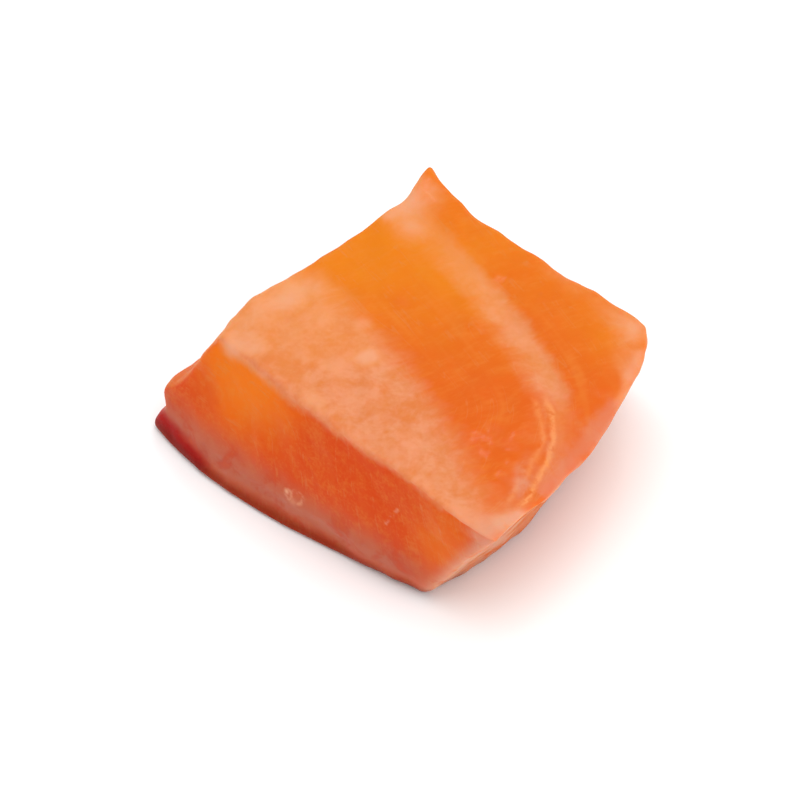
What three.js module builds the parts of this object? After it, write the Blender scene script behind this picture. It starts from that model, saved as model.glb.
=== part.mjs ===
// One raw salmon chunk, cut on the slant from a fillet: an oblique block with a
// drawn-out back corner, a full right side, knife-cut faces and rounded edges.
// Millimetres, +Z up, lying on its flat underside, origin under the middle of its box.
import * as THREE from "three";
import { mergeVertices } from "three/addons/utils/BufferGeometryUtils.js";

// The four upright corners: where each stands on the underside, where it ends at
// the cut top, and how high that is.
const CORNERS = {
  left: { base: [-18.75, -4.75], top: [-13.6, -7.2], height: 12.6 },
  near: { base: [1.5, -21.5], top: [6.9, -26.8], height: 12.1 },
  right: { base: [15.6, 0.5], top: [18.1, -4.9], height: 11.3 },
  back: { base: [1.5, 9.4], top: [2.2, 9.0], height: 13.3 },
};

// Each side runs between two corners. bow is how far its middle stands out and sway
// shifts that towards its far end, each at the underside and then at the top.
const SIDES = {
  front: { from: "left", to: "near", bow: [1.65, 0.2], sway: [-0.3, 0.1] },
  right: { from: "near", to: "right", bow: [2.75, 1.75], sway: [-0.25, 0.55] },
  rear: { from: "right", to: "back", bow: [-0.3, -0.65], sway: [0.2, -0.45] },
  left: { from: "back", to: "left", bow: [0.5, 0.15], sway: [0.2, 0.6] },
};
const SWAY_PEAK = 2.6; // (1 - t * t) * t times this reaches 1

const BLOCK = [27.0, 22.5, 12.4]; // the straight block that is bent into shape
const EDGE_RADIUS = 0.55;
const CELLS = [34, 30, 22]; // faces along each side of the block
const EDGE_CELLS = 2; // of those, the ones that turn over each rounded edge

const CROWN = 0.35; // the cut top swells this much in its middle
const CORNER_CURL = { height: 1.2, reach: 7.0 }; // lift of the drawn-out back corner

// The sloping facet along the top's right edge, in shares of the block's half sizes.
const BEVEL = { width: 0.26, depth: 1.15, from: -0.95, to: 0.5, fade: 0.5 };

// Low on the left side one layer of muscle stands out over a groove.
const LIP = { height: 4.4, out: 1.05, spread: 1.0 };
const GROOVE = { height: 3.0, in: 0.5, spread: 0.6 };
const LAYERS_END = { from: -0.7, to: 0.6 }; // they fade out towards the back corner
const FOOT_STEP = { height: 2.5, in: 0.25, spread: 0.5 }; // low line along the front

// A sheet of fat between two muscles draws the surface in. On the cut top its line bends
// round its apex, and it leans outwards as it goes down.
const SEAM = { apex: [11.5, -14.2], bend: 0.7, round: 5.0, lean: [0.5, 0.3], depth: 0.25, spread: 1.1 };

// The soft flesh is nowhere quite straight: wide swells with small ripples on them.
const SWELL = { size: 7.0, height: 0.32 };
const RIPPLE = { size: 2.6, height: 0.11 };
const FIELD_STEP = 50; // the three directions of a push read the noise this far apart
const RELIEF_FROM = { low: 0.1, full: 1.6 }; // the underside stays flat
const SEED = 11;

const { clamp, lerp, smoothstep } = THREE.MathUtils;
const bell = (x, spread) => Math.exp(-((x / spread) ** 2));

// Repeatable noise: a hash of whole numbers, blended smoothly between them.
function hash(x, y, z) {
  let n = Math.imul(x, 374761393) + Math.imul(y, 668265263) + Math.imul(z, 1440662683);
  n = Math.imul(n + SEED, 1274126177);
  n = Math.imul(n ^ (n >>> 13), 1103515245);
  return ((n ^ (n >>> 16)) >>> 0) / 2147483648 - 1;
}

function noise(place) {
  const cell = place.map(Math.floor);
  const [fx, fy, fz] = place.map((value, i) => THREE.MathUtils.smootherstep(value - cell[i], 0, 1));
  const at = (i, j, k) => hash(cell[0] + i, cell[1] + j, cell[2] + k);
  const row = (j, k) => lerp(at(0, j, k), at(1, j, k), fx);
  return lerp(lerp(row(0, 0), row(1, 0), fy), lerp(row(0, 1), row(1, 1), fy), fz);
}

// Moves an evenly spaced grid line, from -1 to 1, so that the outer ones share the rounded edge.
function crowdEdge(s, axis) {
  const lastEven = 1 - (2 * EDGE_CELLS) / CELLS[axis];
  const edgeStart = 1 - (2 * EDGE_RADIUS) / BLOCK[axis];
  const size = Math.abs(s);
  if (size <= lastEven) return (s * edgeStart) / lastEven;
  return Math.sign(s) * lerp(edgeStart, 1, (size - lastEven) / (1 - lastEven));
}

// Brings a point of the block's surface in to where the edges and corners are round.
function roundEdges(point) {
  const whole = point.map((value, i) => (value * BLOCK[i]) / 2);
  const core = whole.map((value, i) => {
    const reach = BLOCK[i] / 2 - EDGE_RADIUS;
    return clamp(value, -reach, reach);
  });
  const out = new THREE.Vector3(...whole.map((value, i) => value - core[i])).setLength(EDGE_RADIUS);
  return out.toArray().map((value, i) => ((core[i] + value) * 2) / BLOCK[i]);
}

// How far a side stands out from the straight line between its corners.
function sideOffset(side, t, rise) {
  const bow = lerp(side.bow[0], side.bow[1], rise);
  const sway = lerp(side.sway[0], side.sway[1], rise);
  return (bow + SWAY_PEAK * sway * t) * (1 - t * t);
}

// The lip on the left side and the groove under it.
function leftLayers(z, v) {
  const lip = LIP.out * bell(z - LIP.height, LIP.spread);
  const groove = GROOVE.in * bell(z - GROOVE.height, GROOVE.spread);
  return (lip - groove) * (1 - smoothstep(v, LAYERS_END.from, LAYERS_END.to));
}

// The lowest layer is set back along the foot of the front.
function frontFoot(z) {
  return -FOOT_STEP.in * (1 - smoothstep(z - FOOT_STEP.height, -FOOT_STEP.spread, FOOT_STEP.spread));
}

// Swell, curled corner and bevel of the top, which fade away towards the underside.
function topForm(u, v, rise) {
  const crown = CROWN * (1 - u * u) * (1 - v * v);
  const toCorner = Math.hypot(((1 + u) * BLOCK[0]) / 2, ((1 - v) * BLOCK[1]) / 2);
  const curl = CORNER_CURL.height * bell(toCorner, CORNER_CURL.reach);
  const start = smoothstep(v, BEVEL.from, BEVEL.from + BEVEL.fade);
  const end = 1 - smoothstep(v, BEVEL.to - BEVEL.fade, BEVEL.to);
  const bevel = BEVEL.depth * smoothstep(u, 1 - BEVEL.width, 1) * start * end;
  return rise ** 3 * (crown + curl - bevel);
}

// Bends the block: u runs from left to near, v from front to rear, w from underside to top.
function bend([u, v, w]) {
  const rise = (1 + w) / 2;
  const at = (name, i) => lerp(CORNERS[name].base[i], CORNERS[name].top[i], rise);
  const share = {
    left: ((1 - u) * (1 - v)) / 4,
    near: ((1 + u) * (1 - v)) / 4,
    right: ((1 + u) * (1 + v)) / 4,
    back: ((1 - u) * (1 + v)) / 4,
  };
  const point = new THREE.Vector3();
  for (const [name, part] of Object.entries(share)) {
    const corner = new THREE.Vector3(at(name, 0), at(name, 1), CORNERS[name].height * rise);
    point.addScaledVector(corner, part);
  }
  const reach = { front: (1 - v) / 2, right: (1 + u) / 2, rear: (1 + v) / 2, left: (1 - u) / 2 };
  const along = { front: u, right: v, rear: -u, left: -v };
  const layers = { front: frontFoot(point.z), right: 0, rear: 0, left: leftLayers(point.z, v) };
  for (const [name, side] of Object.entries(SIDES)) {
    const runX = at(side.to, 0) - at(side.from, 0);
    const runY = at(side.to, 1) - at(side.from, 1);
    const outward = new THREE.Vector3(runY, -runX, 0).normalize();
    const offset = sideOffset(side, along[name], rise) + layers[name];
    point.addScaledVector(outward, offset * reach[name]);
  }
  point.z += topForm(u, v, rise);
  return point;
}

// How far a point lies outside the sheet of fat, measured level.
function seamDistance({ x, y, z }) {
  const depth = CORNERS.left.height - z;
  const fromApex = y - SEAM.lean[1] * depth - SEAM.apex[1];
  const curve = Math.hypot(fromApex, SEAM.round);
  const line = SEAM.apex[0] - SEAM.bend * (curve - SEAM.round);
  const slope = (SEAM.bend * fromApex) / curve;
  return (x - SEAM.lean[0] * depth - line) / Math.hypot(1, slope);
}

// How much relief there is at a height: none on the flat underside.
const reliefAt = (z) => smoothstep(z, RELIEF_FROM.low, RELIEF_FROM.full);

// Pushes a point about by the swells and ripples.
function warp(point) {
  const push = (wave, i) => {
    const place = point.toArray().map((value) => value / wave.size + i * FIELD_STEP);
    return wave.height * noise(place);
  };
  const pushes = [0, 1, 2].map((i) => push(SWELL, i) + push(RIPPLE, i));
  return point.clone().addScaledVector(new THREE.Vector3(...pushes), reliefAt(point.z));
}

// Draws a point of the surface in towards the sheet of fat under it.
function drawIn(point, normal) {
  const depth = SEAM.depth * bell(seamDistance(point), SEAM.spread) * reliefAt(point.z);
  return point.clone().addScaledVector(normal, -depth);
}

// Replaces every vertex by what change makes of it and its normal.
function reshape(geometry, change) {
  const place = geometry.attributes.position;
  for (let i = 0; i < place.count; i++) {
    const point = new THREE.Vector3().fromBufferAttribute(place, i);
    const normal = geometry.attributes.normal;
    const moved = change(point, normal && new THREE.Vector3().fromBufferAttribute(normal, i));
    place.setXYZ(i, moved.x, moved.y, moved.z);
  }
}

function salmonGeometry() {
  const cube = new THREE.BoxGeometry(2, 2, 2, ...CELLS);
  cube.deleteAttribute("normal");
  cube.deleteAttribute("uv");
  const geometry = mergeVertices(cube);
  reshape(geometry, (point) => warp(bend(roundEdges(point.toArray().map(crowdEdge)))));
  geometry.computeVertexNormals();
  reshape(geometry, drawIn);
  geometry.computeBoundingBox();
  const middle = geometry.boundingBox.getCenter(new THREE.Vector3());
  geometry.translate(-middle.x, -middle.y, -geometry.boundingBox.min.z);
  geometry.computeVertexNormals();
  return geometry;
}

const flesh = new THREE.MeshStandardMaterial({ color: 0xf0752b, roughness: 0.28, metalness: 0 });

const chunk = new THREE.Mesh(salmonGeometry(), flesh);
chunk.name = "salmon_chunk";

const part = new THREE.Group();
part.add(chunk);

export default part;
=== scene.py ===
# A raw salmon chunk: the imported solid, refined to wet flesh with soft bands of fat.
import math

import bmesh
import bpy
import numpy as np
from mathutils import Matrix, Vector


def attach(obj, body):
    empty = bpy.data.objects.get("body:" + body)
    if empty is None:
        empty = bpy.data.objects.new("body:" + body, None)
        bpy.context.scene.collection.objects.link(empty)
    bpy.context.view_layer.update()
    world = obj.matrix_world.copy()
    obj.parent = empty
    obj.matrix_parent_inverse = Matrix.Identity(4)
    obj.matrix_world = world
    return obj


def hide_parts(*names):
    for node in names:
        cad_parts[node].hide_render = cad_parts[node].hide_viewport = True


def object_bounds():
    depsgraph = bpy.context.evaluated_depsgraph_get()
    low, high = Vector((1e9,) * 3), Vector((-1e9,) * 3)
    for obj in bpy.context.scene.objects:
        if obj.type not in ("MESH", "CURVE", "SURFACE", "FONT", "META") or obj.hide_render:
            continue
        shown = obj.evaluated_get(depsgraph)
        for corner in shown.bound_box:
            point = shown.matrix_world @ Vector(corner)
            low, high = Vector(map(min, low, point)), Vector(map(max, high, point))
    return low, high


# Places and lengths are in millimetres unless a comment says otherwise. Two limits in
# brackets are the values at which a share is 0 and at which it is 1.
MM = 0.001
NODE = "salmon_chunk"

# The flesh is cut across two sheets of fat, each leaning outwards as it goes down. The seam's
# line on the cut top bends at its apex, and the veil's outer edge is an arc.
TOP_HEIGHT = 12.6
SEAM = {"apex": (11.0, -5.7), "bend": 0.66, "round": 5.0, "lean": (0.5, 0.3)}
VEIL = {"center": (-45.8, -28.8), "radius": 53.5, "lean": (0.5, 0.1)}

# How much of the fat shows: past the seam's two ends and short of them, and where the veil
# is thin and where it is thick.
SEAM_SHOWN = {"near": (0.2, 0.9), "far": (0.3, 1.0)}
VEIL_SHOWN = (0.85, 1.0)

# Thin strands of fat run along the bevel below the seam: each one's offset from this line,
# its half width and its strength. They fade towards the line's ends, sway across it by this
# much from end to end, and have soft edges that reach from outside to inside the half width.
LINE = [(10.6, -4.0, 12.3), (11.2, -8.0, 11.5), (9.9, -11.4, 10.9), (8.4, -14.4, 11.0)]
LINE_FADE = 1.5
STRANDS = [(0.0, 0.14, 0.65), (-0.95, 0.1, 0.35)]
STRAND_SWAY = 1.2
STRAND_EDGE = (0.35, -0.15)

# Small pale patches and streaks, partly pale fat and partly painted highlights on the ridge, the
# corners and the bevel's edge: where each starts and ends, its reach and its strength.
PALE_PATCHES_AND_HIGHLIGHTS = [
    ((-2.6, -1.0, 12.7), (-2.2, -0.8, 12.7), 0.9, 1.0),
    ((-3.0, 1.8, 12.9), (-2.6, 2.2, 12.9), 0.8, 0.6),
    ((-6.6, -4.4, 12.5), (-5.8, -5.2, 12.4), 0.9, 0.6),
    ((-8.4, 4.1, 12.9), (-8.0, 4.5, 12.9), 0.9, 0.5),
    ((-12.2, 0.6, 12.2), (-10.6, 0.2, 12.6), 1.2, 0.8),
    ((-11.4, 2.6, 12.5), (-6.6, 6.0, 12.9), 1.7, 0.65),
    ((-0.8, 12.6, 13.3), (0.8, 14.2, 13.5), 0.7, 0.7),
    ((0.6, 13.6, 13.5), (0.8, 11.8, 13.2), 2.0, 0.75),
    ((1.4, 15.8, 14.1), (2.8, 14.0, 13.8), 1.2, 0.4),
    ((11.5, 8.2, 12.0), (16.6, 3.4, 11.6), 1.8, 0.4),
    ((17.0, 2.8, 11.4), (16.6, -0.6, 11.5), 1.9, 0.55),
    ((17.5, 0.6, 11.3), (15.8, -4.2, 11.2), 0.5, 0.8),
    ((7.2, -15.9, 11.4), (8.8, -14.8, 11.1), 0.9, 0.9),
]

# Which way the front and right faces look, and how far a normal has to turn the way of a
# face to count as on it.
FRONT_WAY = np.array((-0.68, -0.73, 0.0))
RIGHT_WAY = np.array((0.87, -0.48, 0.0))
ON_FACE = {"front": (0.45, 0.8), "right": (0.25, 0.75), "back": (0.2, 0.7), "top": (0.3, 0.7)}
FACING_FRONT = (0.0, 0.4)

# The flesh turns yellower and lighter towards the back corner and the top, less so outside the seam,
# and again at the right corner: partly its own tone, partly painted light. Spots of painted light lie
# on the front: place, reach and strength.
YELLOW_AND_LIT = {"along": (-9.0, 13.0), "height": (4.0, 11.0), "outside": (-1.0, 2.0), "outside_loss": 0.45}
RIGHT_CORNER = {"place": (15.0, 1.5, 11.5), "reach": 5.0, "strength": 0.3}
PAINTED_LIGHT_SPOTS = [((-11.8, -1.2, 12.0), 6.8, 1.0), ((3.2, -14.9, 7.5), 4.5, 0.5)]

# The painted sheen, a reflection of the pale floor in the wet flesh, lies low on the front and fades
# at its foot, above its top and along x. Membrane shows at the upright edge nearest the viewer and on
# the right face, where it is thicker at the near end.
PAINTED_SHEEN = {"foot": (0.4, 2.2), "top": 2.7, "spread": 1.9, "along": (5.0, -1.0)}
NEAR_EDGE = {"base": (1.7, -13.0), "top": (6.9, -17.8), "width": 0.8}
NEAR_CORNER = {"start": (6.2, -16.8, 11.4), "end": (8.8, -15.2, 11.0), "reach": 1.1}
NEAR_END = (-7.0, -12.0)
MEMBRANE_SHOWN = (0.3, 0.8)

# A pinkish strip along the bevel, partly painted shade of a steeper facet; painted crimson shade in
# the groove near the left corner; and a painted contact shadow, a dark line along the foot.
BEVEL_PINK_AND_SHADE = {"start": (10.6, -11.8, 10.4), "end": (15.6, -4.4, 11.0), "reach": 0.9}
PAINTED_CRIMSON_SHADE = {"start": (-18.0, 3.2, 1.6), "end": (-15.0, -0.4, 1.0), "reach": 1.5}
PAINTED_CONTACT_SHADOW = {"height": (2.0, 0.6), "other_sides": 0.4}

# Painted highlights on the front: the pale rings of two bubbles side by side, each with its place
# and radius, the painted glints on them, each with its place, reach and strength, and a faint nick
# painted as a pale glint.
BUBBLE_HIGHLIGHTS = [((-7.5, -6.7, 3.9), 0.5), ((-8.1, -6.25, 3.75), 0.38)]
BUBBLE_HIGHLIGHT_STRENGTH = 0.5
PAINTED_GLINTS = [((-8.3, -6.1, 3.9), 0.4, 0.9), ((-7.8, -6.6, 3.4), 0.6, 0.35)]
NICK_GLINT = {"start": (-0.2, -11.8, 8.3), "end": (-1.0, -11.3, 6.3), "reach": 0.26, "strength": 0.4}

# Colours as 0 to 255 screen values.
TONES = {
    # Partly the flesh's own yellow, partly painted light towards the top and back.
    "flesh_yellow_lit": (213, 118, 20),
    # Painted light: the lit orange of the spots on the front.
    "flesh_lit": (226, 110, 10),
    "flesh_deep": (206, 91, 24),
    # Partly the flesh's own red, partly painted shade on the front and on faces turned back.
    "flesh_red_shade": (204, 64, 8),
    "flesh_pale": (214, 125, 50),
    "fat_warm": (204, 126, 74),
    # Fat lighter towards the top: partly its own tone, partly painted light.
    "fat_yellow_lit": (221, 142, 84),
    "fat_pale": (217, 153, 117),
    "strand": (226, 152, 92),
    # Painted reflection of the pale floor: a mauve sheen low on the front.
    "painted_sheen": (174, 78, 58),
    "painted_sheen_pale": (176, 98, 76),
    "membrane": (200, 146, 120),
    # Pinkish strip on the bevel, partly painted shade.
    "bevel_pink_and_shade": (204, 118, 86),
    # Painted shade: deep crimson in the groove at the left corner.
    "painted_crimson_shade": (160, 8, 3),
    # Painted contact shadow along the foot.
    "painted_contact_shadow": (104, 20, 8),
}

# How far each layer of colour covers what lies under it where it is thickest.
COVER = {
    "red_front_shade": 0.9,
    "red_back_shade": 0.7,
    "grain": 0.33,
    "septum": 0.25,
    "yellow_lit_fat": 0.7,
    "seam": 0.8,
    "veil": 0.75,
    "pale_and_highlight": 0.8,
    "bevel_pink_and_shade": 0.7,
    "painted_sheen": 0.9,
    "near_edge": 0.7,
    "painted_contact_shadow": 0.75,
}
SHEETS_SHOWN = (0.3, 0.1)  # how far the thin sheets cover off the front and on it

# Muscle fibres run across the bands: how far they dip and turn, in radians, and how much
# longer than wide the fibres and the sheets between them are.
FIBRE_TURN = (0.0, 0.25, math.radians(28.0))
FIBRE_STRETCH = 3.5
SHEET_STRETCH = 8.0

# The noises behind colours and bumps: what each is laid out along, the size of its patches,
# its detail, roughness and distortion.
NOISES = {
    "fibre": ("fibres", 1.1, 3.0, 0.6, 0.3),
    "hair": ("fibres", 0.25, 2.0, 0.5, 0.2),
    "sheet": ("sheets", 1.5, 2.0, 0.6, 0.2),
    "cloud": ("place", 8.0, 2.0, 0.5, 0.5),
    "patch": ("place", 2.4, 3.0, 0.6, 0.4),
    "fleck": ("place", 0.7, 2.0, 0.6, 0.0),
    "liquid": ("place", 3.2, 1.0, 0.5, 0.0),
}

# Patterns that are several noises added up, each by its weight.
GRAIN = {"fibre": 0.6, "hair": 0.4}
MOTTLE = {"patch": 0.7, "fleck": 0.3}
RIPPLE = {"fibre": 0.5, "hair": 0.25, "fleck": 0.25}
WETNESS = {"liquid": 1.0, "ripple": 0.2, "glint_marks": 0.5}

# How the material turns a value into a share: its two limits, and the noises that make the
# border between them ragged, each with how far it shifts the value from end to end.
SHARES = {
    "yellow_and_lit": ((0.0, 1.0), {"cloud": 0.8}),
    "painted_light": ((0.1, 1.0), {"cloud": 0.6}),
    "grain": ((0.42, 0.72), {}),
    "sheets": ((0.5, 0.75), {}),
    "septum": ((0.012, 0.004), {}),
    "septum_breaks": ((0.4, 0.6), {}),
    "mottle": ((0.3, 0.7), {}),
    "seam_inner": ((-2.2, 0.2), {"fibre": 1.6, "patch": 1.4}),
    "seam_outer": ((1.7, 0.5), {"fibre": 1.6, "patch": 1.4}),
    "seam_near": ((-7.5, -2.5), {}),
    "seam_far": ((13.0, 7.0), {}),
    "veil": ((1.5, -1.5), {"fibre": 3.0, "patch": 2.2}),
    "veil_top": ((0.3, 0.9), {"patch": 0.8}),
    "veil_depth": ((2.6, 1.8), {}),
    "veil_spill": ((1.2, 0.4), {"patch": 2.0}),
    "veil_blotches": ((0.25, 0.6), {"fleck": 0.4}),
    "strand_breaks": ((0.25, 0.55), {}),
    "pale_and_highlight": ((0.15, 0.95), {"patch": 0.6}),
    "bevel_pink_and_shade": ((0.1, 1.0), {"patch": 0.8, "fleck": 0.6}),
    "painted_sheen_breaks": ((0.0, 0.45), {}),
    "painted_sheen_pale": ((0.35, 0.55), {}),
    "edge_breaks": ((0.25, 0.5), {}),
    "membrane": ((0.3, 0.6), {"fibre": 0.4}),
    "painted_crimson_shade": ((0.15, 0.95), {"patch": 1.0}),
    "ring": ((0.3, 0.0), {}),
    "ring_breaks": ((0.35, 0.6), {}),
    "nick_glint_breaks": ((0.35, 0.55), {}),
}

# The wet surface: its roughness with the noise's spread, the heights of its two bumps, and
# the shader's fixed settings.
ROUGHNESS = {"middle": 0.45, "spread": 0.3}
BUMPS = {"flesh": 0.06, "wet": 0.12}
SURFACE = {
    "Specular IOR Level": 0.0,
    "Subsurface Weight": 0.5,
    "Subsurface Radius": (1.0, 0.25, 0.1),
    "Subsurface Scale": 1.2 * MM,
    "Coat Weight": 0.28,
    "Coat Roughness": 0.12,
    "Coat IOR": 1.34,
}

SUBDIVISIONS = 2
MERGE_DISTANCE = 1e-6  # metres

# Fine relief of the mesh: wave size, height and seed, the heights over which it sets in, and
# how many waves it is made of, with the range of their lengths as shares of the size.
DIMPLES = (2.8, 0.035, 3)
CREASES = (1.1, 0.014, 5)
RELIEF_HEIGHTS = (0.0, 0.6)
WAVE_COUNT = 24
WAVE_LENGTHS = (0.7, 1.6)

FLOOR = {"size": 3000.0, "drop": 0.02, "shade": 0.95, "roughness": 0.6}

# Square softboxes: name, offset from the chunk's middle and side in metres, power in watts.
SOFTBOXES = [
    ("key_above", (0.0, -0.06, 0.55), 0.50, 1.55),
    ("fill_right", (0.35, -0.25, 0.22), 0.30, 0.5),
    ("glint", (0.10, 0.16, 0.52), 0.05, 0.08),
]
WORLD_STRENGTH = 0.84

CAMERA_ELEVATION = 48.0  # degrees
CAMERA_LENS = 400.0
SENSOR = 36.0
CLIP_START = 10.0
WIDTH_SHARE = 0.62  # of the picture's width, filled by the chunk


def smoothstep(low, high, value):
    t = np.clip((value - low) / (high - low), 0.0, 1.0)
    return t * t * (3.0 - 2.0 * t)


def bell(value, spread):
    return np.exp(-((value / spread) ** 2))


def waves(points, size, seed):
    """Smooth repeatable noise with a spread of about 1: sine waves in random directions."""
    rng = np.random.default_rng(seed)
    directions = rng.normal(size=(WAVE_COUNT, 3))
    directions /= np.linalg.norm(directions, axis=1, keepdims=True)
    lengths = size * rng.uniform(*WAVE_LENGTHS, WAVE_COUNT)
    phases = rng.uniform(0.0, 2.0 * math.pi, WAVE_COUNT)
    total = np.sin(points @ (directions.T * 2.0 * math.pi / lengths) + phases).sum(axis=1)
    return total / math.sqrt(WAVE_COUNT / 2.0)


def carried_up(places, lean):
    """Where the sheet of fat through each place meets the cut top."""
    depth = TOP_HEIGHT - places[:, 2]
    return places[:, 0] - depth * lean[0], places[:, 1] - depth * lean[1]


def seam_distance(places):
    """How far outside the seam's middle each place lies."""
    x, y = carried_up(places, SEAM["lean"])
    from_apex = y - SEAM["apex"][1]
    curve = np.hypot(from_apex, SEAM["round"])
    line = SEAM["apex"][0] - SEAM["bend"] * (curve - SEAM["round"])
    slope = SEAM["bend"] * from_apex / curve
    return (x - line) / np.hypot(1.0, slope)


def veil_distance(places):
    """How far outside the veil's outer edge each place lies."""
    x, y = carried_up(places, VEIL["lean"])
    return np.hypot(x - VEIL["center"][0], y - VEIL["center"][1]) - VEIL["radius"]


def segment_distance(places, start, end):
    """How far each place lies from the straight line between two points."""
    start, end = np.array(start), np.array(end)
    run = end - start
    share = np.clip((places - start) @ run / (run @ run), 0.0, 1.0)
    return np.linalg.norm(places - start - share[:, None] * run, axis=1)


def line_distance(places):
    """How far each place lies from the line of strands, negative on the seam's inner side."""
    nearest = np.full(len(places), np.inf)
    for start, end in zip(LINE, LINE[1:]):
        distance = segment_distance(places, start, end)
        run = np.array(end) - start
        side = (places[:, 1] - start[1]) * run[0] - (places[:, 0] - start[0]) * run[1]
        nearest = np.where(distance < abs(nearest), distance * np.sign(side), nearest)
    return nearest


def fine_mesh(node):
    """The node's own mesh with its facets joined and subdivided to a smooth, dense surface."""
    bm = bmesh.new()
    bm.from_mesh(node.data)
    bmesh.ops.remove_doubles(bm, verts=bm.verts, dist=MERGE_DISTANCE)
    bmesh.ops.join_triangles(
        bm,
        faces=bm.faces,
        angle_face_threshold=math.pi,
        angle_shape_threshold=math.pi,
    )
    mesh = bpy.data.meshes.new("salmon_flesh")
    bm.to_mesh(mesh)
    bm.free()
    coarse = bpy.data.objects.new("coarse", mesh)
    bpy.context.scene.collection.objects.link(coarse)
    smooth = coarse.modifiers.new("smooth", "SUBSURF")
    smooth.levels = SUBDIVISIONS
    smooth.render_levels = SUBDIVISIONS
    smooth.boundary_smooth = "ALL"
    graph = bpy.context.evaluated_depsgraph_get()
    fine = bpy.data.meshes.new_from_object(coarse.evaluated_get(graph))
    bpy.data.objects.remove(coarse)
    fine.name = "salmon_flesh"
    return fine


def read_vectors(mesh, what):
    values = np.zeros(len(mesh.vertices) * 3, np.float32)
    mesh.vertices.foreach_get(what, values)
    return values.reshape(-1, 3).astype(float)


def add_field(mesh, name, values):
    field = mesh.attributes.new(name, "FLOAT", "POINT")
    field.data.foreach_set("value", values.astype(np.float32))


def add_relief(mesh):
    """Small dimples and creases in the wet surface, none where the chunk rests."""
    places = read_vectors(mesh, "co") / MM
    normals = read_vectors(mesh, "normal")
    relief = np.zeros(len(places))
    for size, height, seed in (DIMPLES, CREASES):
        relief += height * waves(places, size, seed)
    relief *= smoothstep(*RELIEF_HEIGHTS, places[:, 2])
    moved = (places + normals * relief[:, None]) * MM
    mesh.vertices.foreach_set("co", moved.astype(np.float32).ravel())
    mesh.update()


def capsule(places, shape):
    """How close each place is to a line between two points, from 0 to 1."""
    return bell(segment_distance(places, shape["start"], shape["end"]), shape["reach"])


def pale_patches_and_highlights(places):
    """How pale the small patches of fat and painted highlights make each place, from 0 to 1."""
    clear = np.ones(len(places))
    for start, end, reach, strength in PALE_PATCHES_AND_HIGHLIGHTS:
        clear *= 1.0 - strength * bell(segment_distance(places, start, end), reach)
    return 1.0 - clear


def near_edge(places):
    """How close each place is to the upright edge nearest the viewer, from 0 to 1."""
    rise = places[:, 2:] / TOP_HEIGHT
    edge = np.array(NEAR_EDGE["base"]) * (1.0 - rise) + np.array(NEAR_EDGE["top"]) * rise
    return bell(np.linalg.norm(places[:, :2] - edge, axis=1), NEAR_EDGE["width"])


def painted_sheen_on_front(places):
    """Where the painted sheen, a reflection of the floor, lies low on the front, from 0 to 1."""
    x, _, z = places.T
    share = bell(np.maximum(z - PAINTED_SHEEN["top"], 0.0), PAINTED_SHEEN["spread"])
    return share * smoothstep(*PAINTED_SHEEN["foot"], z) * smoothstep(*PAINTED_SHEEN["along"], x)


def yellow_and_lit_share(places, seam):
    """How far the flesh has turned from deep orange to yellow, away from the front: partly its own tone,
    partly painted light from above and behind.
    """
    _, y, z = places.T
    share = smoothstep(*YELLOW_AND_LIT["along"], y) * smoothstep(*YELLOW_AND_LIT["height"], z)
    return share * (1.0 - YELLOW_AND_LIT["outside_loss"] * smoothstep(*YELLOW_AND_LIT["outside"], seam))


def near_point(places, point, reach):
    """How close each place is to a point, from 0 to 1."""
    return bell(np.linalg.norm(places - point, axis=1), reach)


def painted_light_share(places):
    """How much painted light the spots on the front put on each place, from 0 to 1."""
    return np.max([strength * near_point(places, place, reach) for place, reach, strength in PAINTED_LIGHT_SPOTS], axis=0)


def line_share(y):
    """How much the strands show along their line: they fade towards both of its ends."""
    start, end = LINE[0][1], LINE[-1][1]
    return smoothstep(start, start - LINE_FADE, y) * smoothstep(end, end + LINE_FADE, y)


def add_fields(mesh):
    """What the flesh material reads: distances in millimetres, and shares from 0 to 1."""
    places = read_vectors(mesh, "co") / MM
    normals = read_vectors(mesh, "normal")
    _, y, z = places.T
    front = smoothstep(*ON_FACE["front"], normals @ FRONT_WAY)
    facing = smoothstep(*FACING_FRONT, normals @ FRONT_WAY)
    top = smoothstep(*ON_FACE["top"], normals[:, 2])
    seam = seam_distance(places)
    corner = RIGHT_CORNER["strength"] * near_point(places, RIGHT_CORNER["place"], RIGHT_CORNER["reach"])
    fields = {
        "seam": seam,
        "way": carried_up(places, SEAM["lean"])[1],
        "veil": veil_distance(places),
        "top": top,
        "drop": TOP_HEIGHT - z,
        "front": front,
        "right": smoothstep(*ON_FACE["right"], normals @ RIGHT_WAY),
        "near_end": smoothstep(*NEAR_END, y),
        "pale_and_highlight": pale_patches_and_highlights(places),
        "line": line_distance(places),
        "line_share": line_share(y) * top,
        "yellow_and_lit": yellow_and_lit_share(places, seam) * (1.0 - front) + corner,
        "painted_light": painted_light_share(places) * (1.0 - top),
        "back": smoothstep(*ON_FACE["back"], normals[:, 1]),
        "near_edge": np.maximum(near_edge(places) * front, capsule(places, NEAR_CORNER)),
        "bevel_pink_and_shade": capsule(places, BEVEL_PINK_AND_SHADE),
        "painted_sheen": painted_sheen_on_front(places) * facing,
        "painted_crimson_shade": capsule(places, PAINTED_CRIMSON_SHADE),
        "painted_contact_shadow": smoothstep(*PAINTED_CONTACT_SHADOW["height"], z) * np.maximum(facing, PAINTED_CONTACT_SHADOW["other_sides"]),
    }
    for name, values in fields.items():
        add_field(mesh, name, values)


def linear(red, green, blue):
    """A colour given as 0 to 255 screen values, for a node: undoes the screen's curve."""
    values = [channel / 255.0 for channel in (red, green, blue)]
    return tuple(v / 12.92 if v <= 0.04045 else ((v + 0.055) / 1.055) ** 2.4 for v in values) + (1.0,)


def tone(name):
    return linear(*TONES[name])


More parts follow.
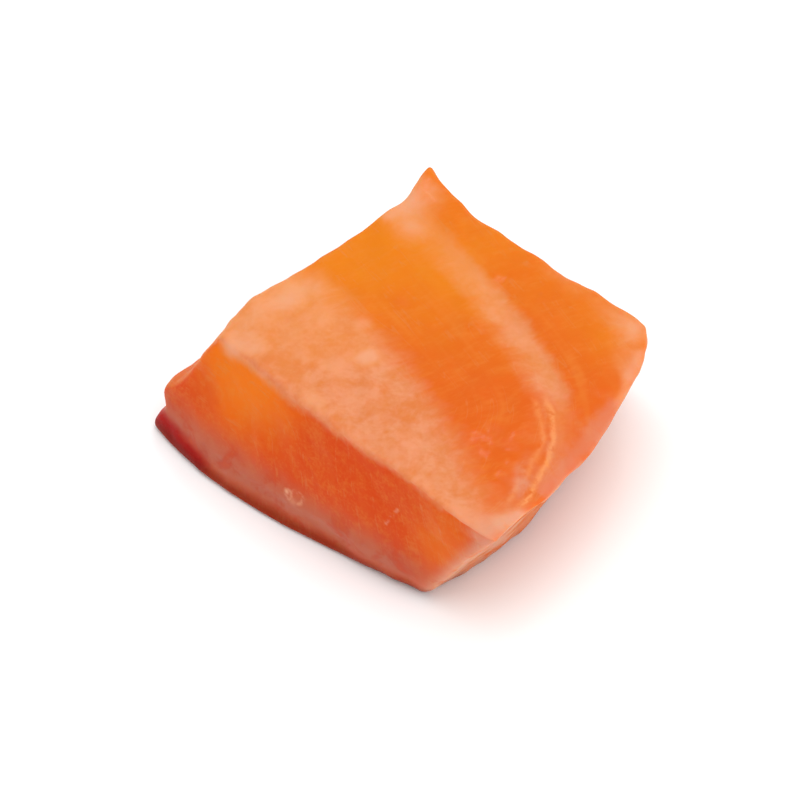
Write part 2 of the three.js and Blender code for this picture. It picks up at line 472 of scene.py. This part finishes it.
class Nodes:
    """Short ways to add linked nodes to a material."""

    def __init__(self, tree):
        self.tree = tree

    def add(self, kind, inputs=None, **settings):
        node = self.tree.nodes.new(kind)
        for name, value in settings.items():
            setattr(node, name, value)
        for key, value in (inputs or {}).items():
            self.feed(node.inputs[key], value)
        return node

    def feed(self, socket, value):
        if isinstance(value, bpy.types.NodeSocket):
            self.tree.links.new(value, socket)
        else:
            socket.default_value = value

    def field(self, name):
        return self.add("ShaderNodeAttribute", attribute_name=name).outputs["Fac"]

    def math(self, operation, a, b=0.0, clamp=False):
        return self.add("ShaderNodeMath", {0: a, 1: b}, operation=operation, use_clamp=clamp).outputs[0]

    def product(self, *values):
        total = values[0]
        for value in values[1:]:
            total = self.math("MULTIPLY", total, value)
        return total

    def level(self, share, low, high):
        """From low to high as the share goes from 0 to 1."""
        return self.math("ADD", self.math("MULTIPLY", share, high - low), low)

    def step(self, value, low, high):
        """0 below low and 1 above high, smooth between them; low may be the larger."""
        inputs = {"Value": value, "From Min": low, "From Max": high, "To Min": 0.0, "To Max": 1.0}
        return self.add("ShaderNodeMapRange", inputs, interpolation_type="SMOOTHSTEP").outputs[0]

    def mix(self, share, under, over, cover=1.0):
        """The colour under turning into the colour over, as far as cover where the share is 1."""
        factor = self.math("MULTIPLY", share, cover)
        # The colour sockets share their names with the other kinds, so they go by number.
        return self.add("ShaderNodeMix", {0: factor, 6: under, 7: over}, data_type="RGBA").outputs[2]

    def vector(self, operation, a, b=(0.0, 0.0, 0.0)):
        return self.add("ShaderNodeVectorMath", {0: a, 1: b}, operation=operation)

    def scaled(self, vector, factor):
        return self.add("ShaderNodeVectorMath", {0: vector, "Scale": factor}, operation="SCALE").outputs[0]

    def reach(self, place, start, end=None):
        """How far a place lies from a point, or from the straight line between two points."""
        offset = self.vector("SUBTRACT", place, start).outputs[0]
        if end:
            run = Vector(end) - Vector(start)
            along = self.vector("DOT_PRODUCT", offset, run / run.length_squared).outputs["Value"]
            share = self.math("ADD", along, 0.0, clamp=True)
            offset = self.vector("SUBTRACT", offset, self.scaled(run, share)).outputs[0]
        return self.vector("LENGTH", offset).outputs["Value"]

    def noise(self, vector, size, detail, roughness, distortion):
        """Noise from 0 to 1 whose patches are about so many millimetres long."""
        inputs = {
            "Vector": vector,
            "Scale": 1.0 / size,
            "Detail": detail,
            "Roughness": roughness,
            "Distortion": distortion,
        }
        return self.add("ShaderNodeTexNoise", inputs).outputs["Fac"]

    def spread(self, noise, width):
        """The noise centred on 0 and so wide from end to end."""
        return self.math("MULTIPLY", self.math("SUBTRACT", noise, 0.5), width)


def share_of(n, noises, name, value):
    """The share that a value gives within its limits, its border made ragged by noise."""
    limits, shifts = SHARES[name]
    for noise, width in shifts.items():
        value = n.math("ADD", value, n.spread(noises[noise], width))
    return n.step(value, *limits)


def added_up(n, noises, weights):
    """Several noises added up by their weights."""
    total = 0.0
    for name, weight in weights.items():
        total = n.math("ADD", n.math("MULTIPLY", noises[name], weight), total)
    return total


def glint_marks_share(n, noises, place):
    """Where the painted highlights show: the bubbles' pale rings, their glints and the glint on the nick,
    from 0 to 1.
    """
    share = 0.0
    ring_breaks = share_of(n, noises, "ring_breaks", noises["fleck"])
    for centre, radius in BUBBLE_HIGHLIGHTS:
        from_ring = n.math("ABSOLUTE", n.math("SUBTRACT", n.reach(place, centre), radius))
        ring = n.product(share_of(n, noises, "ring", from_ring), ring_breaks, BUBBLE_HIGHLIGHT_STRENGTH)
        share = n.math("MAXIMUM", ring, share)
    # Painted glints on the bubbles.
    for centre, reach, strength in PAINTED_GLINTS:
        painted_glint = n.math("MULTIPLY", n.step(n.reach(place, centre), reach, 0.0), strength)
        share = n.math("MAXIMUM", painted_glint, share)
    # A faint nick painted as a pale glint.
    nick_glint = n.step(n.reach(place, NICK_GLINT["start"], NICK_GLINT["end"]), NICK_GLINT["reach"], 0.0)
    nick_glint_breaks = share_of(n, noises, "nick_glint_breaks", noises["fleck"])
    return n.math("MAXIMUM", n.product(nick_glint, nick_glint_breaks, NICK_GLINT["strength"]), share)


def flesh_noises(n):
    """The patterns that the flesh's colours and bumps share, each from 0 to 1."""
    place = n.scaled(n.add("ShaderNodeTexCoord").outputs["Object"], 1.0 / MM)
    turn = {"Vector": place, "Rotation": FIBRE_TURN, "Scale": (FIBRE_STRETCH, 1.0, 1.0)}
    fibres = n.add("ShaderNodeMapping", turn, vector_type="TEXTURE").outputs[0]
    way = n.math("MULTIPLY", n.field("way"), 1.0 / SHEET_STRETCH)
    sheets = n.add("ShaderNodeCombineXYZ", {"X": n.field("seam"), "Y": way}).outputs[0]
    layouts = {"place": place, "fibres": fibres, "sheets": sheets}
    noises = {name: n.noise(layouts[layout], *pattern) for name, (layout, *pattern) in NOISES.items()}
    noises["glint_marks"] = glint_marks_share(n, noises, place)
    noises["ripple"] = added_up(n, noises, RIPPLE)
    return noises


def seam_share(n, noises):
    """How much fat shows along the seam: soft on its inner side, sharper on its outer side."""
    inner = share_of(n, noises, "seam_inner", n.field("seam"))
    outer = share_of(n, noises, "seam_outer", n.field("seam"))
    near_end = n.level(share_of(n, noises, "seam_near", n.field("way")), *SEAM_SHOWN["near"])
    far_end = n.level(share_of(n, noises, "seam_far", n.field("way")), *SEAM_SHOWN["far"])
    return n.product(inner, outer, near_end, far_end)


def veil_share(n, noises):
    """How much fat shows between the veil's outer edge and the front edge of the cut top."""
    outer = share_of(n, noises, "veil", n.field("veil"))
    spill = n.math("MULTIPLY", share_of(n, noises, "veil_spill", n.field("drop")), n.field("front"))
    top = share_of(n, noises, "veil_top", n.field("top"))
    upper = n.math("MULTIPLY", top, share_of(n, noises, "veil_depth", n.field("drop")))
    blotches = share_of(n, noises, "veil_blotches", noises["patch"])
    return n.product(outer, n.math("MAXIMUM", upper, spill), n.level(blotches, *VEIL_SHOWN))


def strand_share(n, noises):
    """How much fat shows along the thin strands."""
    sway = n.spread(noises["patch"], STRAND_SWAY)
    share = 0.0
    for offset, half_width, strength in STRANDS:
        distance = n.math("ADD", n.math("SUBTRACT", n.field("line"), offset), sway)
        limits = [half_width + edge for edge in STRAND_EDGE]
        strand = n.step(n.math("ABSOLUTE", distance), *limits)
        share = n.math("MAXIMUM", n.math("MULTIPLY", strand, strength), share)
    return n.product(share, n.field("line_share"), share_of(n, noises, "strand_breaks", noises["fleck"]))


def lean_colour(n, noises, yellow_and_lit):
    """Lean flesh: deep orange, yellow and a red that is partly painted shade, with pale fibres and thin
    sheets between them.
    """
    # Painted shade, partly the flesh's own red: the front face turns redder and darker.
    colour = n.mix(n.field("front"), tone("flesh_deep"), tone("flesh_red_shade"), COVER["red_front_shade"])
    # Partly its own tone, partly painted light: yellower towards the top and back.
    colour = n.mix(yellow_and_lit, colour, tone("flesh_yellow_lit"))
    # Painted light: lit spots on the front.
    colour = n.mix(share_of(n, noises, "painted_light", n.field("painted_light")), colour, tone("flesh_lit"))
    # Painted shade on the faces turned back, where the edge turns away from the light.
    colour = n.mix(n.field("back"), colour, tone("flesh_red_shade"), COVER["red_back_shade"])
    grain = share_of(n, noises, "grain", added_up(n, noises, GRAIN))
    colour = n.mix(grain, colour, tone("flesh_pale"), COVER["grain"])
    sheets = share_of(n, noises, "sheets", noises["sheet"])
    sheets = n.math("MULTIPLY", sheets, n.level(n.field("front"), *SHEETS_SHOWN))
    colour = n.mix(sheets, colour, tone("flesh_pale"))
    septum = n.math("ABSOLUTE", n.math("SUBTRACT", noises["sheet"], 0.5))
    breaks = share_of(n, noises, "septum_breaks", noises["fibre"])
    septum = n.math("MULTIPLY", share_of(n, noises, "septum", septum), breaks)
    return n.mix(septum, colour, tone("fat_warm"), COVER["septum"])


def add_fat(n, noises, colour, yellow_and_lit):
    """Lays the two bands of fat over the colour, then the pale patches with their painted highlights, the
    pinkish bevel strip with its painted shade, and the strands.
    """
    mottle = share_of(n, noises, "mottle", added_up(n, noises, MOTTLE))
    fat = n.mix(mottle, tone("fat_warm"), tone("fat_pale"))
    # Fat lighter towards the top, partly painted light.
    fat = n.mix(yellow_and_lit, fat, tone("fat_yellow_lit"), COVER["yellow_lit_fat"])
    colour = n.mix(seam_share(n, noises), colour, fat, COVER["seam"])
    colour = n.mix(veil_share(n, noises), colour, fat, COVER["veil"])
    # Pale patches of fat, partly painted highlights.
    pale_and_highlight = share_of(n, noises, "pale_and_highlight", n.field("pale_and_highlight"))
    colour = n.mix(pale_and_highlight, colour, n.mix(pale_and_highlight, tone("fat_yellow_lit"), tone("fat_pale")), COVER["pale_and_highlight"])
    # Pinkish strip on the bevel, partly painted shade of a steeper facet.
    bevel_pink_and_shade = share_of(n, noises, "bevel_pink_and_shade", n.field("bevel_pink_and_shade"))
    colour = n.mix(bevel_pink_and_shade, colour, tone("bevel_pink_and_shade"), COVER["bevel_pink_and_shade"])
    return n.mix(strand_share(n, noises), colour, tone("strand"))


def add_painted_sheen_and_membrane(n, noises, colour):
    """Lays the painted sheen, a reflection of the floor, on the front, and the membrane at the near edge
    and on the right.
    """
    # Painted reflection: a mauve sheen where the wet front faces the pale floor.
    painted_sheen = n.math("MULTIPLY", n.field("painted_sheen"), share_of(n, noises, "painted_sheen_breaks", noises["patch"]))
    painted_sheen_tone = n.mix(share_of(n, noises, "painted_sheen_pale", noises["patch"]), tone("painted_sheen"), tone("painted_sheen_pale"))
    colour = n.mix(painted_sheen, colour, painted_sheen_tone, COVER["painted_sheen"])
    edge = n.math("MULTIPLY", n.field("near_edge"), share_of(n, noises, "edge_breaks", noises["patch"]))
    colour = n.mix(edge, colour, tone("membrane"), COVER["near_edge"])
    membrane = share_of(n, noises, "membrane", noises["patch"])
    membrane = n.product(membrane, n.field("right"), n.level(n.field("near_end"), *MEMBRANE_SHOWN))
    return n.mix(membrane, colour, tone("membrane"))


def flesh_colour(n, noises):
    """The flesh's colour, laid down from the deep orange outwards."""
    yellow_and_lit = share_of(n, noises, "yellow_and_lit", n.field("yellow_and_lit"))
    colour = lean_colour(n, noises, yellow_and_lit)
    colour = add_fat(n, noises, colour, yellow_and_lit)
    colour = add_painted_sheen_and_membrane(n, noises, colour)
    # Painted shade: deep crimson in the groove at the left corner.
    colour = n.mix(share_of(n, noises, "painted_crimson_shade", n.field("painted_crimson_shade")), colour, tone("painted_crimson_shade"))
    # Painted contact shadow: a dark line along the foot, strongest on the faces towards the front.
    colour = n.mix(n.field("painted_contact_shadow"), colour, tone("painted_contact_shadow"), COVER["painted_contact_shadow"])
    # Painted highlights: the bubbles' rings, their glints and the nick's glint, in pale fat's tone.
    return n.mix(noises["glint_marks"], colour, tone("fat_pale"))


def bump(n, height, distance):
    inputs = {"Height": height, "Strength": 1.0, "Distance": distance * MM}
    return n.add("ShaderNodeBump", inputs).outputs[0]


def flesh_material():
    material = bpy.data.materials.new("wet_salmon")
    material.use_nodes = True
    material.node_tree.nodes.clear()
    n = Nodes(material.node_tree)
    noises = flesh_noises(n)
    roughness = n.math("ADD", n.spread(noises["fibre"], ROUGHNESS["spread"]), ROUGHNESS["middle"])
    inputs = {
        "Base Color": flesh_colour(n, noises),
        "Roughness": roughness,
        "Normal": bump(n, noises["ripple"], BUMPS["flesh"]),
        "Coat Normal": bump(n, added_up(n, noises, WETNESS), BUMPS["wet"]),
    }
    shader = n.add("ShaderNodeBsdfPrincipled", {**inputs, **SURFACE})
    n.add("ShaderNodeOutputMaterial", {"Surface": shader.outputs[0]})
    return material


def make_chunk(frame):
    node = frame["nodes"][NODE]
    mesh = fine_mesh(node)
    add_relief(mesh)
    add_fields(mesh)
    mesh.materials.clear()
    mesh.materials.append(flesh_material())
    mesh.shade_smooth()
    chunk = bpy.data.objects.new("salmon_flesh", mesh)
    bpy.context.scene.collection.objects.link(chunk)
    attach(chunk, "root")
    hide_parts(NODE)


def make_floor():
    bpy.ops.mesh.primitive_plane_add(size=FLOOR["size"] * MM, location=(0.0, 0.0, -FLOOR["drop"] * MM))
    floor = bpy.context.object
    floor.name = "floor"
    material = bpy.data.materials.new("pale_floor")
    material.use_nodes = True
    shader = material.node_tree.nodes["Principled BSDF"]
    shader.inputs["Base Color"].default_value = (FLOOR["shade"], FLOOR["shade"], FLOOR["shade"], 1.0)
    shader.inputs["Roughness"].default_value = FLOOR["roughness"]
    floor.data.materials.append(material)


def add_softbox(name, offset, side, power, target):
    light = bpy.data.lights.new(name, "AREA")
    light.shape = "SQUARE"
    light.size = side
    light.energy = power
    lamp = bpy.data.objects.new(name, light)
    lamp.location = target + Vector(offset)
    lamp.rotation_euler = (target - lamp.location).to_track_quat("-Z", "Y").to_euler()
    bpy.context.scene.collection.objects.link(lamp)


def light_scene(target):
    for name, offset, side, power in SOFTBOXES:
        add_softbox(name, offset, side, power, target)
    world = bpy.data.worlds.new("studio")
    world.use_nodes = True
    background = world.node_tree.nodes["Background"]
    background.inputs["Color"].default_value = (1.0, 1.0, 1.0, 1.0)
    background.inputs["Strength"].default_value = WORLD_STRENGTH
    bpy.context.scene.world = world


def place_camera(low, high):
    target = (low + high) / 2.0
    camera_data = bpy.data.cameras.new("camera")
    camera_data.lens = CAMERA_LENS
    camera_data.sensor_width = SENSOR
    camera_data.clip_start = CLIP_START * MM
    elevation = math.radians(CAMERA_ELEVATION)
    back = Vector((0.0, -math.cos(elevation), math.sin(elevation)))
    shown_width = (high.x - low.x) / WIDTH_SHARE
    distance = shown_width * CAMERA_LENS / SENSOR
    camera = bpy.data.objects.new("camera", camera_data)
    camera.location = target + back * distance
    camera.rotation_euler = (-back).to_track_quat("-Z", "Y").to_euler()
    bpy.context.scene.collection.objects.link(camera)
    bpy.context.scene.camera = camera


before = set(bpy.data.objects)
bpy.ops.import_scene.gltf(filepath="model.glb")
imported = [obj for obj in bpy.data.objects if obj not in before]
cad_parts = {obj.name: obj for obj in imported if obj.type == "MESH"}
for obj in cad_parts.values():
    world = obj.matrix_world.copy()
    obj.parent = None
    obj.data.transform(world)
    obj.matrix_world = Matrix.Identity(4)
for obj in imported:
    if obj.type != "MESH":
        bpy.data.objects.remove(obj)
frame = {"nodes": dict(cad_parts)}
cad_low, cad_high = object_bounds()
make_chunk(frame)
make_floor()
light_scene((cad_low + cad_high) / 2.0)
place_camera(cad_low, cad_high)
bpy.context.scene.view_settings.view_transform = "Standard"
